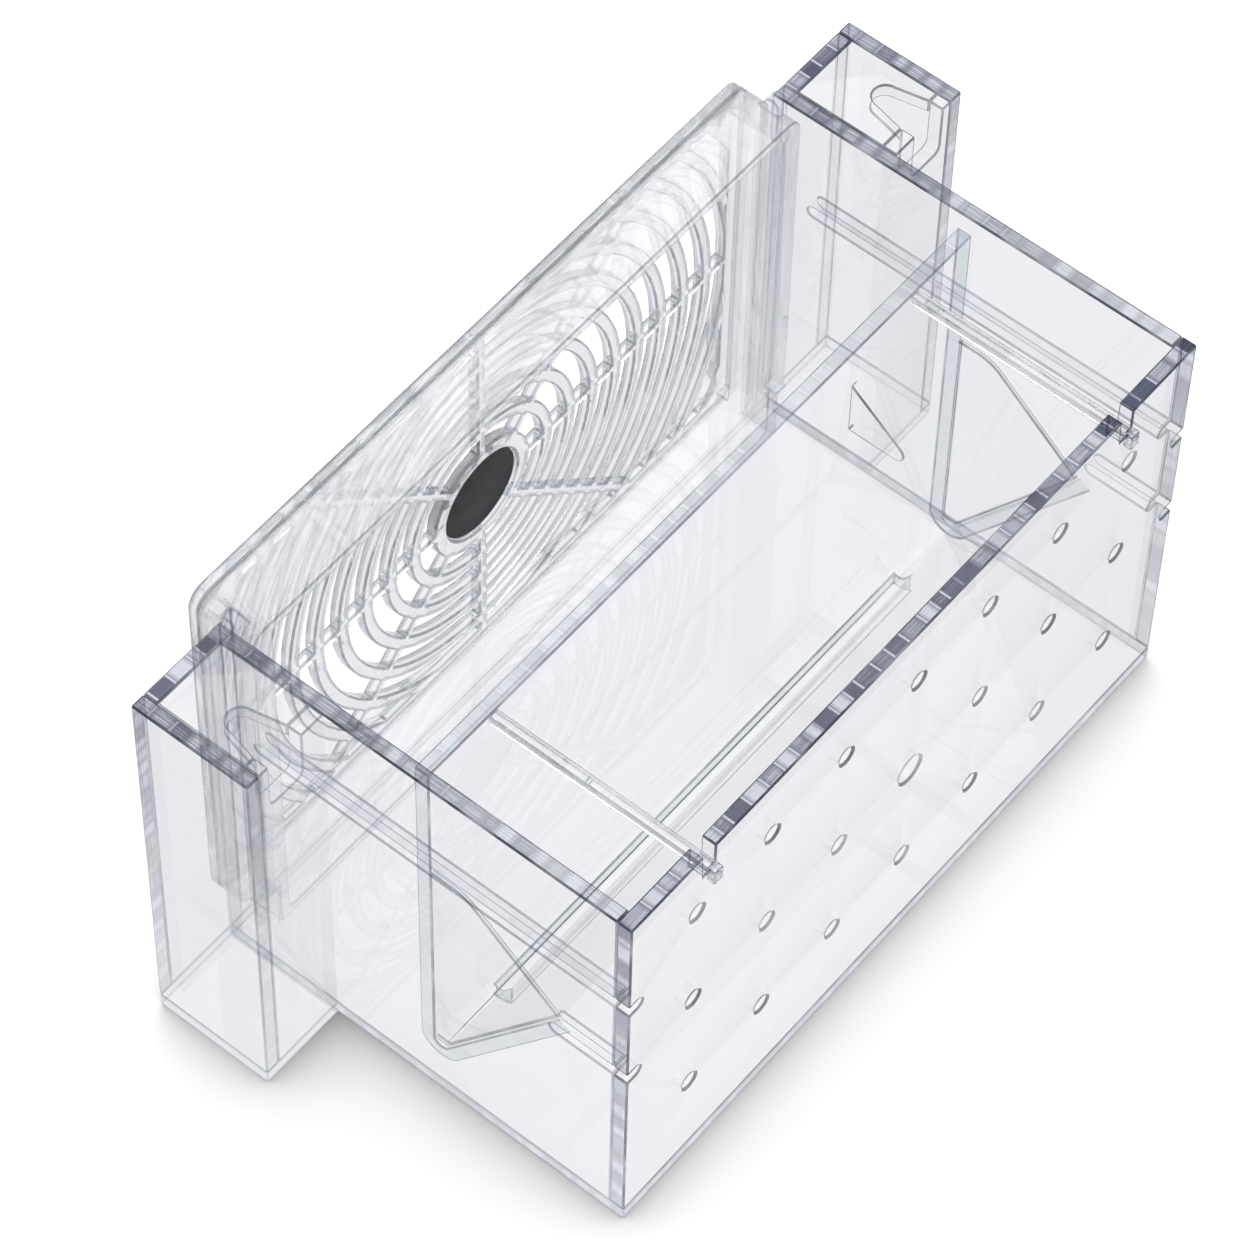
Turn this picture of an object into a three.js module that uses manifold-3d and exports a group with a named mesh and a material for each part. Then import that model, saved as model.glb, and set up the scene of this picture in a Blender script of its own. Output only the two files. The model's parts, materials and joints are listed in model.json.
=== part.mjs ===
// Fish breeding box: a clear acrylic tank box with two hollow side ears, a lift-out slotted grille
// cassette at the rear and a lift-out divider with a sloping trough at the middle.
// Millimetres, +Z up. X runs along the box, -Y is the drilled front wall, +Y the grille side.
// Every piece is laid out from the middle of the underside of the floor panel, and the group is then
// moved so that its origin is the middle of the underside of the whole object's bounding box.

import * as THREE from 'three';
import { mergeVertices } from 'three/addons/utils/BufferGeometryUtils.js';
import Module from 'manifold-3d';

const wasm = await Module();
wasm.setup();

// Box, outside sizes
const boxLength = 200;
const boxWidth = 118;
const boxHeight = 124;
const sheet = 4;

// Clearances
const fitGap = 0.3;
const slideGap = 0.5;
const cutOverrun = 5;

// Front wall drilling
const holeColumns = 7;
const holeRows = 3;
const holesFromEnd = 22.6;
const holesBelowRim = 20.3;
const holesAboveUnderside = 32.3;
const holeRadius = 2.3;
const middleHoleRadius = 3.9;

// Guide slots, cut in from the front edge of both end walls
const slotHeight = 3.2;
const longSlotBelowRim = 33;
const longSlotFromRear = 12;
const shortSlotBelowRim = 61.5;
const shortSlotFromFront = 22;
const slotRunOut = 0.6;

// Side ears
const earReach = 24.5;
const earWidth = 33;
const earSlotReach = 12.5;
const earSlotEndRadius = 3.3;
const earSlotMouth = 10.4;
const earSlotDrop = 15;
const earSlotBottomRadius = 2;

// Rear grille cassette
const cassetteDepth = 19;
const cassetteInset = 9;
const cassetteCorner = 5;
const cassetteInnerCorner = 2;
const cassetteWall = 3;
const grilleThickness = 3;
const guideStandOff = 3.6;
const guideWidth = 4.4;
const guideRise = 2.5;
const guideFootHeight = 16;

// Grille pattern
const hubBelowRim = 62;
const hubRadius = 12.5;
const hubThickness = 1;
const hubRecessDepth = 2.2;
const firstRingRadius = 17;
const ringPitch = 8.5;
const ringSlotWidth = 5;
const ringCount = 10;
const spokeCount = 8;
const spokeWidth = 2.6;
const grilleTopBorder = 6;
const grilleBottomBorder = 4;
const grilleSideBorder = 6;

// Divider insert
const dividerSetBack = 0.5;
const dividerBelowRim = 4.5;
const bendRadius = 2;
const rampAngle = THREE.MathUtils.degToRad(56);
const rampLength = 59;
const troughSlitFromEnd = 25;
const troughSlitWidth = 5;
const cheekRise = 81;
const cheekShelf = 9.5;
const cheekCorner = 4;
const cheekThickness = 1.2;

// Arms that hang the insert on the front rim
const armFromEnd = 26;
const armWidth = 3;
const armHeight = 3;
const armHookThickness = 2.5;
const armHookDrop = 4.5;

// Small wedge on the inside of the right end wall
const wedgeThickness = 2;
const wedgeBehindDivider = 8;
const wedgeTop = 39.5;
const wedgeBottom = 21.5;
const wedgeReach = 17;
const wedgeTipRadius = 3;

// Steps for round edges: half as many as the sides of a full circle
const arcSteps = 10;
const holeSteps = 12;
const ringSteps = 36;

// Places worked out from the sizes above
const endX = boxLength / 2;
const innerX = endX - sheet;
const frontY = -boxWidth / 2;
const rearY = boxWidth / 2;
const innerFrontY = frontY + sheet;
const floorTop = sheet;
const rimZ = boxHeight;
const wallHeight = rimZ - floorTop;
const earFrontY = rearY - earWidth;
const cassetteFrontY = rearY - cassetteInset;
const cassetteBackY = cassetteFrontY + cassetteDepth;
const cassetteEndX = innerX - slideGap;
const cassetteBottom = floorTop + fitGap;
const plateFrontY = cassetteBackY - grilleThickness;
const guideBackY = rearY;
const guideFrontY = guideBackY - guideWidth;
const armX = endX - armFromEnd;
const dividerTop = rimZ - dividerBelowRim;
const hookBackY = frontY - fitGap;
const hookFrontY = hookBackY - armHookThickness;

const acrylic = () => new THREE.MeshStandardMaterial({
  color: 0xe4e8f0, roughness: 0.06, metalness: 0, transparent: true, opacity: 0.35,
});
const blackPlastic = () => new THREE.MeshStandardMaterial({ color: 0x3e3f42, roughness: 0.45, metalness: 0 });

// Frames that lay a flat outline in a plane and thicken it along the third axis
const X = new THREE.Vector3(1, 0, 0);
const Y = new THREE.Vector3(0, 1, 0);
const Z = new THREE.Vector3(0, 0, 1);
const frames = {
  flat: new THREE.Matrix4().makeBasis(X, Y, Z),
  facingFront: new THREE.Matrix4().makeBasis(X, Z, Y.clone().negate()),
  facingEnd: new THREE.Matrix4().makeBasis(Y, Z, X),
};

const part = new THREE.Group();

function addPiece(name, geometry, frame, position, material) {
  const mesh = new THREE.Mesh(geometry, material);
  mesh.name = name;
  mesh.quaternion.setFromRotationMatrix(frame);
  mesh.position.copy(position);
  part.add(mesh);
}

function extrude(shape, thickness, steps = arcSteps) {
  return new THREE.ExtrudeGeometry(shape, { depth: thickness, bevelEnabled: false, curveSegments: steps });
}

function toSolid(geometry) {
  const bare = geometry.clone();
  bare.deleteAttribute('normal');
  bare.deleteAttribute('uv');
  const merged = mergeVertices(bare);
  return new wasm.Manifold(new wasm.Mesh({
    numProp: 3,
    vertProperties: Float32Array.from(merged.attributes.position.array),
    triVerts: Uint32Array.from(merged.index.array),
  }));
}

function toGeometry(solid) {
  const mesh = solid.getMesh();
  const geometry = new THREE.BufferGeometry();
  geometry.setAttribute('position', new THREE.BufferAttribute(Float32Array.from(mesh.vertProperties), 3));
  geometry.setIndex(new THREE.BufferAttribute(Uint32Array.from(mesh.triVerts), 1));
  geometry.computeVertexNormals();
  return geometry;
}

function blockGeometry(low, high) {
  const size = high.clone().sub(low);
  const geometry = new THREE.BoxGeometry(size.x, size.y, size.z);
  geometry.translate(low.x + size.x / 2, low.y + size.y / 2, low.z + size.z / 2);
  return geometry;
}

function addBlock(name, low, high, material = acrylic()) {
  const size = high.clone().sub(low);
  const centre = low.clone().add(high).divideScalar(2);
  addPiece(name, new THREE.BoxGeometry(size.x, size.y, size.z), frames.flat, centre, material);
}

const at = (x, y, z) => new THREE.Vector3(x, y, z);

function roundHole(x, y, radius) {
  const hole = new THREE.Path();
  hole.absarc(x, y, radius, 0, Math.PI * 2, true);
  return hole;
}

function roundedRectangle(x0, y0, x1, y1, radius) {
  const shape = new THREE.Shape();
  shape.moveTo(x0 + radius, y0);
  shape.lineTo(x1 - radius, y0);
  shape.absarc(x1 - radius, y0 + radius, radius, -Math.PI / 2, 0, false);
  shape.lineTo(x1, y1 - radius);
  shape.absarc(x1 - radius, y1 - radius, radius, 0, Math.PI / 2, false);
  shape.lineTo(x0 + radius, y1);
  shape.absarc(x0 + radius, y1 - radius, radius, Math.PI / 2, Math.PI, false);
  shape.lineTo(x0, y0 + radius);
  shape.absarc(x0 + radius, y0 + radius, radius, Math.PI, Math.PI * 1.5, false);
  return shape;
}

// Heights of the two guide slots' middles
const slotLevels = [rimZ - shortSlotBelowRim, rimZ - longSlotBelowRim];

function addFloor() {
  addBlock('floor_panel', at(-endX, frontY, 0), at(endX, rearY, floorTop));
}

// Front wall: drilled sheet over the whole length, with a notch in the rim for each arm and
// a half-round run-out at both ends for each guide slot
function frontWallOutline() {
  const half = slotHeight / 2;
  const notchHalf = armWidth / 2 + slideGap;
  const notchFloor = dividerTop - armHeight - fitGap;
  const reach = sheet + slotRunOut - half;
  const shape = new THREE.Shape();
  shape.moveTo(-endX, floorTop);
  shape.lineTo(endX, floorTop);
  for (const level of slotLevels) {
    shape.lineTo(endX, level - half);
    shape.lineTo(endX - reach, level - half);
    shape.absarc(endX - reach, level, half, -Math.PI / 2, Math.PI / 2, true);
    shape.lineTo(endX, level + half);
  }
  shape.lineTo(endX, rimZ);
  for (const side of [1, -1]) {
    const middle = side * armX;
    shape.lineTo(middle + notchHalf, rimZ);
    shape.lineTo(middle + notchHalf, notchFloor);
    shape.lineTo(middle - notchHalf, notchFloor);
    shape.lineTo(middle - notchHalf, rimZ);
  }
  shape.lineTo(-endX, rimZ);
  for (const level of slotLevels.toReversed()) {
    shape.lineTo(-endX, level + half);
    shape.lineTo(-endX + reach, level + half);
    shape.absarc(-endX + reach, level, half, Math.PI / 2, -Math.PI / 2, true);
    shape.lineTo(-endX, level - half);
  }
  return shape;
}

function addFrontWall() {
  const shape = frontWallOutline();
  const firstX = holesFromEnd - endX;
  const pitchX = -2 * firstX / (holeColumns - 1);
  const pitchZ = (rimZ - holesBelowRim - holesAboveUnderside) / (holeRows - 1);
  for (let row = 0; row < holeRows; row++) {
    for (let column = 0; column < holeColumns; column++) {
      const isMiddle = 2 * column === holeColumns - 1 && 2 * row === holeRows - 1;
      const radius = isMiddle ? middleHoleRadius : holeRadius;
      shape.holes.push(roundHole(firstX + column * pitchX, holesAboveUnderside + row * pitchZ, radius));
    }
  }
  addPiece('front_wall', extrude(shape, sheet, holeSteps), frames.facingFront,
    at(0, innerFrontY, 0), acrylic());
}

// End walls: their front edge butts on the front wall, where both guide slots run out
function endWallOutline() {
  const half = slotHeight / 2;
  const ends = [frontY + shortSlotFromFront, rearY - longSlotFromRear];
  const shape = new THREE.Shape();
  shape.moveTo(rearY, floorTop);
  shape.lineTo(rearY, rimZ);
  shape.lineTo(innerFrontY, rimZ);
  for (const index of [1, 0]) {
    const level = slotLevels[index];
    const turn = ends[index] - half;
    shape.lineTo(innerFrontY, level + half);
    shape.lineTo(turn, level + half);
    shape.absarc(turn, level, half, Math.PI / 2, -Math.PI / 2, true);
    shape.lineTo(innerFrontY, level - half);
  }
  shape.lineTo(innerFrontY, floorTop);
  return shape;
}

function addEndWalls() {
  for (const [name, x] of [['left_end_wall', -endX], ['right_end_wall', innerX]]) {
    addPiece(name, extrude(endWallOutline(), sheet), frames.facingEnd, at(x, 0, 0), acrylic());
  }
}

// Side ears: closed hollow boxes on the outside of both end walls. A tapered slot in the top plate
// runs out through a notch in the ear's front wall
function earTopOutline(x0, x1, middle) {
  const front = earFrontY + sheet;
  const back = rearY - sheet;
  const turn = earFrontY + earSlotReach;
  const mouthHalf = earSlotMouth / 2;
  const shape = new THREE.Shape();
  shape.moveTo(x0, front);
  shape.lineTo(middle - mouthHalf, front);
  shape.lineTo(middle - earSlotEndRadius, turn);
  shape.absarc(middle, turn, earSlotEndRadius, Math.PI, 0, true);
  shape.lineTo(middle + mouthHalf, front);
  shape.lineTo(x1, front);
  shape.lineTo(x1, back);
  shape.lineTo(x0, back);
  return shape;
}

function earFrontOutline(x0, x1, middle) {
  const half = earSlotMouth / 2;
  const bottom = rimZ - earSlotDrop;
  const round = earSlotBottomRadius;
  const shape = new THREE.Shape();
  shape.moveTo(x0, floorTop);
  shape.lineTo(x1, floorTop);
  shape.lineTo(x1, rimZ);
  shape.lineTo(middle + half, rimZ);
  shape.lineTo(middle + half, bottom + round);
  shape.absarc(middle + half - round, bottom + round, round, 0, -Math.PI / 2, true);
  shape.lineTo(middle - half + round, bottom);
  shape.absarc(middle - half + round, bottom + round, round, -Math.PI / 2, -Math.PI, true);
  shape.lineTo(middle - half, rimZ);
  shape.lineTo(x0, rimZ);
  return shape;
}

function addEar(side, direction) {
  const wallX = direction * endX;
  const tipX = direction * (endX + earReach);
  const capX = tipX - direction * sheet;
  const [x0, x1] = [Math.min(wallX, capX), Math.max(wallX, capX)];
  const [outer0, outer1] = [Math.min(capX, tipX), Math.max(capX, tipX)];
  const middle = direction * (endX + earReach / 2);
  const piece = (name) => `${side}_ear_${name}`;
  addBlock(piece('floor'),
    at(Math.min(wallX, tipX), earFrontY, 0), at(Math.max(wallX, tipX), rearY, floorTop));
  addBlock(piece('outer_wall'), at(outer0, earFrontY, floorTop), at(outer1, rearY, rimZ));
  addBlock(piece('rear_wall'), at(x0, rearY - sheet, floorTop), at(x1, rearY, rimZ));
  addPiece(piece('front_wall'), extrude(earFrontOutline(x0, x1, middle), sheet),
    frames.facingFront, at(0, earFrontY + sheet, 0), acrylic());
  addPiece(piece('top_plate'), extrude(earTopOutline(x0, x1, middle), sheet),
    frames.flat, at(0, 0, rimZ - sheet), acrylic());
}

// Upright guides on the end walls, round at the top, that the cassette's grooves slide down over.
// Each one has a foot in front that the cassette's front flange stands on
function addGuide(side, x) {
  const top = rimZ + guideRise;
  const half = guideWidth / 2;
  const shape = new THREE.Shape();
  const footTop = floorTop + guideFootHeight;
  shape.moveTo(guideFrontY, footTop);
  shape.lineTo(cassetteFrontY, footTop);
  shape.lineTo(cassetteFrontY, floorTop);
  shape.lineTo(guideBackY, floorTop);
  shape.lineTo(guideBackY, top - half);
  shape.absarc(guideBackY - half, top - half, half, 0, Math.PI, false);
  addPiece(`${side}_guide_rail`, extrude(shape, guideStandOff), frames.facingEnd, at(x, 0, 0), acrylic());
}

// Cassette rim: a deep frame with rounded corners. At both ends its wall steps in round the guides,
// as a groove with a flange in front, cut short over the foot, and a flange behind
function addCassetteRim() {
  const grooveX = innerX - guideStandOff - slideGap;
  const grooveFront = guideFrontY - slideGap;
  const grooveBack = guideBackY + slideGap;
  const windowX = grooveX - cassetteWall;
  const outline = roundedRectangle(-cassetteEndX, cassetteBottom, cassetteEndX, rimZ, cassetteCorner);
  outline.holes.push(roundedRectangle(-windowX, cassetteBottom + cassetteWall,
    windowX, rimZ - cassetteWall, cassetteInnerCorner));
  const frame = extrude(outline, plateFrontY - cassetteFrontY);
  frame.applyMatrix4(frames.facingFront);
  frame.translate(0, plateFrontY, 0);
  let solid = toSolid(frame);
  for (const side of [-1, 1]) {
    const cut = (nearX, farX, y0, y1, z0, z1) => {
      const low = at(Math.min(side * nearX, side * farX), y0, z0);
      const high = at(Math.max(side * nearX, side * farX), y1, z1);
      solid = solid.subtract(toSolid(blockGeometry(low, high)));
    };
    const past = endX + cutOverrun;
    cut(grooveX, past, grooveFront, grooveBack, -cutOverrun, rimZ + cutOverrun);
    cut(grooveX, past, -cutOverrun, grooveBack, -cutOverrun, floorTop + guideFootHeight + fitGap);
    cut(windowX - cutOverrun, cassetteEndX - cassetteWall,
      grooveBack + cassetteWall, plateFrontY + cutOverrun,
      cassetteBottom + cassetteWall * 2, rimZ - cassetteWall * 2);
  }
  addPiece('cassette_rim', toGeometry(solid), frames.flat, at(0, 0, 0), acrylic());
}

// Cutter for the grille, in the plate's own plane: rings, less the spokes, inside the borders
function grilleCutter(bottom, top) {
  const depth = grilleThickness + cutOverrun * 2;
  let cutter = null;
  for (let ring = 0; ring < ringCount; ring++) {
    const inner = firstRingRadius + ring * ringPitch;
    const shape = new THREE.Shape();
    shape.absarc(0, 0, inner + ringSlotWidth, 0, Math.PI * 2, false);
    shape.holes.push(roundHole(0, 0, inner));
    const band = extrude(shape, depth, ringSteps);
    band.translate(0, 0, -cutOverrun);
    cutter = cutter ? cutter.add(toSolid(band)) : toSolid(band);
  }
  for (let spoke = 0; spoke < spokeCount / 2; spoke++) {
    const bar = new THREE.BoxGeometry(boxLength * 2, spokeWidth, depth * 2);
    bar.rotateZ(spoke * Math.PI * 2 / spokeCount);
    cutter = cutter.subtract(toSolid(bar));
  }
  const windowX = cassetteEndX - grilleSideBorder;
  const low = at(-windowX, bottom + grilleBottomBorder, -depth);
  const high = at(windowX, top - grilleTopBorder, depth);
  return cutter.intersect(toSolid(blockGeometry(low, high)));
}

// Grille plate: closes the back of the cassette, with a round recess in front for the hub disc
const hubZ = rimZ - hubBelowRim;

function addGrillePlate() {
  const bottom = cassetteBottom - hubZ;
  const top = rimZ - hubZ;
  const outline = roundedRectangle(-cassetteEndX, bottom, cassetteEndX, top, cassetteCorner);
  const recess = new THREE.CylinderGeometry(hubRadius + fitGap, hubRadius + fitGap,
    hubRecessDepth * 2, ringSteps * 2);
  recess.rotateX(Math.PI / 2);
  recess.translate(0, 0, grilleThickness);
  const plate = toSolid(extrude(outline, grilleThickness))
    .subtract(grilleCutter(bottom, top))
    .subtract(toSolid(recess));
  addPiece('grille_plate', toGeometry(plate), frames.facingFront, at(0, cassetteBackY, hubZ), acrylic());
}

// Black hub disc, seated in the recess of the grille plate
function addHubDisc() {
  const disc = new THREE.CylinderGeometry(hubRadius, hubRadius, hubThickness, ringSteps * 2);
  const y = plateFrontY + hubRecessDepth - fitGap - hubThickness / 2;
  addPiece('hub_disc', disc, frames.flat, at(0, y, hubZ), blackPlastic());
}

// Divider sheet: an upright sheet whose foot bends round and rises forward as a ramp
const bendOuter = bendRadius + sheet;
const bendY = dividerSetBack - bendRadius;
const bendZ = floorTop + fitGap + bendOuter;
const rampStep = new THREE.Vector2(-Math.cos(rampAngle), Math.sin(rampAngle));
const rampNormal = new THREE.Vector2(Math.sin(rampAngle), Math.cos(rampAngle));

// A point at this distance outside the bend's middle, this far up the ramp
function onRamp(distance, along) {
  return new THREE.Vector2(bendY, bendZ)
    .addScaledVector(rampNormal, -distance)
    .addScaledVector(rampStep, along);
}

const insertEndX = innerX - slideGap;

function addDividerSheet() {
  const shape = new THREE.Shape();
  const turn = Math.atan2(-rampNormal.y, -rampNormal.x);
  const outerTip = onRamp(bendOuter, rampLength);
  const innerTip = onRamp(bendRadius, rampLength);
  shape.moveTo(dividerSetBack, dividerTop);
  shape.lineTo(dividerSetBack, bendZ);
  shape.absarc(bendY, bendZ, bendRadius, 0, turn, true);
  shape.lineTo(innerTip.x, innerTip.y);
  shape.lineTo(outerTip.x, outerTip.y);
  shape.absarc(bendY, bendZ, bendOuter, turn, 0, false);
  shape.lineTo(dividerSetBack + sheet, dividerTop);
  const bent = extrude(shape, insertEndX * 2);
  bent.applyMatrix4(frames.facingEnd);
  bent.translate(-insertEndX, 0, 0);
  const slitBack = bendY + bendRadius / 2;
  const slit = blockGeometry(
    at(troughSlitFromEnd - endX, slitBack - troughSlitWidth, 0),
    at(endX - troughSlitFromEnd, slitBack, bendZ + bendOuter));
  const geometry = toGeometry(toSolid(bent).subtract(toSolid(slit)));
  addPiece('divider_sheet', geometry, frames.flat, at(0, 0, 0), acrylic());
}

// Cheeks close the trough at both ends, between the upright sheet and the ramp
function addCheek(side, x) {
  const clear = bendRadius - fitGap;
  const start = onRamp(clear, 0);
  const foot = onRamp(clear, (bendZ - start.y) / rampStep.y);
  const tip = onRamp(clear, rampLength);
  const shelfY = dividerSetBack - cheekShelf;
  const slope = new THREE.Vector2(tip.x - shelfY, tip.y - cheekRise).setLength(cheekCorner);
  const shape = new THREE.Shape();
  shape.moveTo(dividerSetBack, bendZ);
  shape.lineTo(dividerSetBack, cheekRise);
  shape.lineTo(shelfY + cheekCorner, cheekRise);
  shape.quadraticCurveTo(shelfY, cheekRise, shelfY + slope.x, cheekRise + slope.y);
  shape.lineTo(tip.x, tip.y);
  shape.lineTo(foot.x, foot.y);
  addPiece(`${side}_cheek`, extrude(shape, cheekThickness), frames.facingEnd, at(x, 0, 0), acrylic());
}

// Arms: flat bars from the divider to the front rim that end in a hook outside it
function addArm(side, middle) {
  const under = dividerTop - armHeight;
  const shape = new THREE.Shape();
  shape.moveTo(dividerSetBack, under);
  shape.lineTo(dividerSetBack, dividerTop);
  shape.lineTo(hookFrontY, dividerTop);
  shape.lineTo(hookFrontY, dividerTop - armHookDrop);
  shape.lineTo(hookBackY, dividerTop - armHookDrop);
  shape.lineTo(hookBackY, under);
  addPiece(`${side}_arm`, extrude(shape, armWidth), frames.facingEnd,
    at(middle - armWidth / 2, 0, 0), acrylic());
}

// Wedge: a small flat triangle with a round tip, bonded low on the inside of the right end wall
function addWedge() {
  const front = dividerSetBack + sheet + wedgeBehindDivider;
  const top = new THREE.Vector2(front + wedgeReach, wedgeTop);
  const tip = new THREE.Vector2(front + wedgeTipRadius, wedgeBottom + wedgeTipRadius);
  const fall = tip.clone().sub(top);
  const slope = Math.atan2(fall.y, fall.x) - Math.asin(wedgeTipRadius / fall.length());
  const shape = new THREE.Shape();
  shape.moveTo(top.x, wedgeBottom);
  shape.lineTo(top.x, top.y);
  shape.absarc(tip.x, tip.y, wedgeTipRadius, slope - Math.PI / 2, -Math.PI / 2, false);
  addPiece('right_wall_wedge', extrude(shape, wedgeThickness), frames.facingEnd,
    at(innerX - wedgeThickness, 0, 0), acrylic());
}

addFloor();
addFrontWall();
addEndWalls();
addEar('left', -1);
addEar('right', 1);
addGuide('left', -innerX);
addGuide('right', innerX - guideStandOff);
addCassetteRim();
addGrillePlate();
addHubDisc();
addDividerSheet();
addCheek('left', -insertEndX);
addCheek('right', insertEndX - cheekThickness);
addArm('left', -armX);
addArm('right', armX);
addWedge();
part.position.y = -(cassetteBackY + hookFrontY) / 2;

export default part;
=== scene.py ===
"""Dresses the clear acrylic fish breeding box: rounded edges, moulded grille, disc and studio."""

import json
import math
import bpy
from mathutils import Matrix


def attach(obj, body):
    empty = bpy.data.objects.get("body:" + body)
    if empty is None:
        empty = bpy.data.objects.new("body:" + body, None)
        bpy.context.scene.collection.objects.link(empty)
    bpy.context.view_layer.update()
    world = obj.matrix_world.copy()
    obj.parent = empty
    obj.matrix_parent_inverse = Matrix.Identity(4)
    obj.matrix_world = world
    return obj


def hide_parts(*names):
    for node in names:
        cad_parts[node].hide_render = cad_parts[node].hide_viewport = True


bl_info = {
    "name": "Fish breeding box",
    "version": (1, 0, 0),
    "blender": (4, 5, 0),
    "location": "View3D > Sidebar > Breeding Box",
    "description": "Dresses the clear acrylic breeding box and sets its white studio",
    "category": "Object",
}

import bmesh
import bpy
from bpy.props import FloatProperty, PointerProperty, StringProperty
from mathutils import Matrix, Vector
from mathutils.bvhtree import BVHTree

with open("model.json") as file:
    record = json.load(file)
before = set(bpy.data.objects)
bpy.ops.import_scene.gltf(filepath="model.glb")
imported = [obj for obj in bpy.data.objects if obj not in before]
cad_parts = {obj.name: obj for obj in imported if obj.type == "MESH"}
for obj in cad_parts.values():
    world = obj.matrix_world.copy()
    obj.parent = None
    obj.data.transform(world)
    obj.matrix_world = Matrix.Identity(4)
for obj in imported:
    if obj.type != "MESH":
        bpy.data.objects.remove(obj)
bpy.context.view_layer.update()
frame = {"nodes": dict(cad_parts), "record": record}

MM = 0.001
AXES = ("X", "Y", "Z")

# Materials: heights, lengths of patterns and their depths
PMMA_IOR = 1.49
RIM_HEIGHT = 122 * MM
SHADE_HEIGHT = 26 * MM
HAZE_LENGTH = 45 * MM
FADE_START = 80 * MM
FADE_END = 160 * MM
CELL_LENGTH = 5 * MM
PATCH_LENGTH = 26 * MM
STREAK_LENGTH = 16 * MM
# Real polishing streaks are finer; these are as wide as they need to be to show
STREAK_WIDTH = 0.4 * MM
BREAK_LENGTH = 16 * MM
WAVE_LENGTH = 12 * MM
WAVE_DEPTH = 0.4 * MM
# Real satin grain is finer; this is as coarse as it needs to be to show
GRAIN_SIZE = 0.4 * MM
GRAIN_DEPTH = 0.05 * MM
SATIN_SHEEN = 0.25
# How bright the painted highlights on the borders between the cells are, how few places show them,
# and the streaks' share of the tone: the front wall's rim is all outlined cells, while the others
# are mostly streaks
CELL_LOOK = {"Y": (0.95, 0.36, 0.4)}
PLAIN_LOOK = (0.5, 0.5, 0.7)
# How much of the view a bar bends, as against what it lets straight through
RIM_GLASS = 0.35
GRILLE_GLASS = 0.8
ARM_GLASS = 0.8

# Shares of the painted shade on edges and arrises, which stands in for the dark surroundings that
# they refract and mirror: on the rim, at the foot, at the top, and how much of them faces to the
# rear keep
TANK_EDGE = (1.0, 0.28, 0.7, 0.2)
TANK_ARRIS = (1.0, 0.25, 0.45, 0.2)
FRONT_ARRIS = (1.0, 0.7, 0.9, 0.2)
EAR_EDGE = {"left": (1.0, 0.22, 0.35, 2.2), "right": (1.0, 0.35, 0.7, 0.1)}
EAR_ARRIS = {"left": (1.0, 0.3, 0.45, 1.0), "right": (1.0, 0.35, 0.65, 0.15)}
EAR_PLATE_EDGE = (0.4, 0.1, 0.2, 0.2)
EAR_PLATE_ARRIS = {"left": (0.4, 0.15, 0.25, 0.3), "right": (0.8, 0.15, 0.6, 0.3)}
EAR_BACK_EDGE = (1.0, 0.02, 0.1, 0.2)
EAR_BACK_ARRIS = (0.9, 0.02, 0.1, 0.1)
INSERT_EDGE = (0.3, 0.03, 0.08, 0.5)
INSERT_ARRIS = (0.6, 0.55, 0.6, 0.4)
WEDGE_ARRIS = (0.8, 0.9, 0.9, 0.8)
BAR_ARRIS = (0.3, 0.3, 0.3, 0.5)
GUIDE_EDGE = (0.15, 0.02, 0.1, 0.2)
GUIDE_ARRIS = (0.3, 0.05, 0.12, 0.2)
CASSETTE_ARRIS = (0.3, 0.06, 0.15, 0.5)
GRILLE_ARRIS = (0.25, 0.25, 0.25, 1.0)
# How dark the painted shade on the level undersides and ledges is, against the upright edges
LEVEL_EDGE_SHARE = 0.15
LEVEL_ARRIS_SHARE = 1.0

# Shapes
MERGE_DISTANCE = 0.005 * MM
FLAT_ANGLE = math.radians(1.0)
SHARP_ANGLE = math.radians(30.0)
SMOOTH_ANGLE = math.radians(22.0)
EDGE_SEGMENTS = 2
DISC_SEGMENTS = 3
LEVEL_STEP = 0.1 * MM
OPEN_OUTLINE = 6
PROBE = 0.2 * MM
SHEET = 4 * MM
STRIP_WIDTH = 1.1 * SHEET
STRIP_SHARP_SHARE = 0.8
SMALLEST_CUT = 70 * MM ** 2
RAMP_TIP = -32 * MM
NEARLY_SQUARE = 0.995
HOLES_REACH = 90 * MM

# Studio and camera
FLOOR_SPAN = 16.0
FLOOR_GAP = 0.05 * MM
LAMP_PLACE = Vector((0.3, 0.5, 1.2))
LAMP_SPAN = 0.9
LAMP_POWER = 4.0
SKY_STRENGTH_LOW = 0.35
SKY_STRENGTH_HIGH = 1.15
SKY_STRENGTH_THROUGH = 0.85
CAMERA_AZIMUTH = math.radians(52.057)
CAMERA_ELEVATION = math.radians(55.524)
CAMERA_ROLL = math.radians(1.562)
CAMERA_DISTANCE = 1325 * MM
CAMERA_TARGET = Vector((-0.83, 18.23, 50.0)) * MM
CAMERA_LENS = 164.52
CAMERA_REACH = 20.0
SENSOR_WIDTH = 36.0


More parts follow.
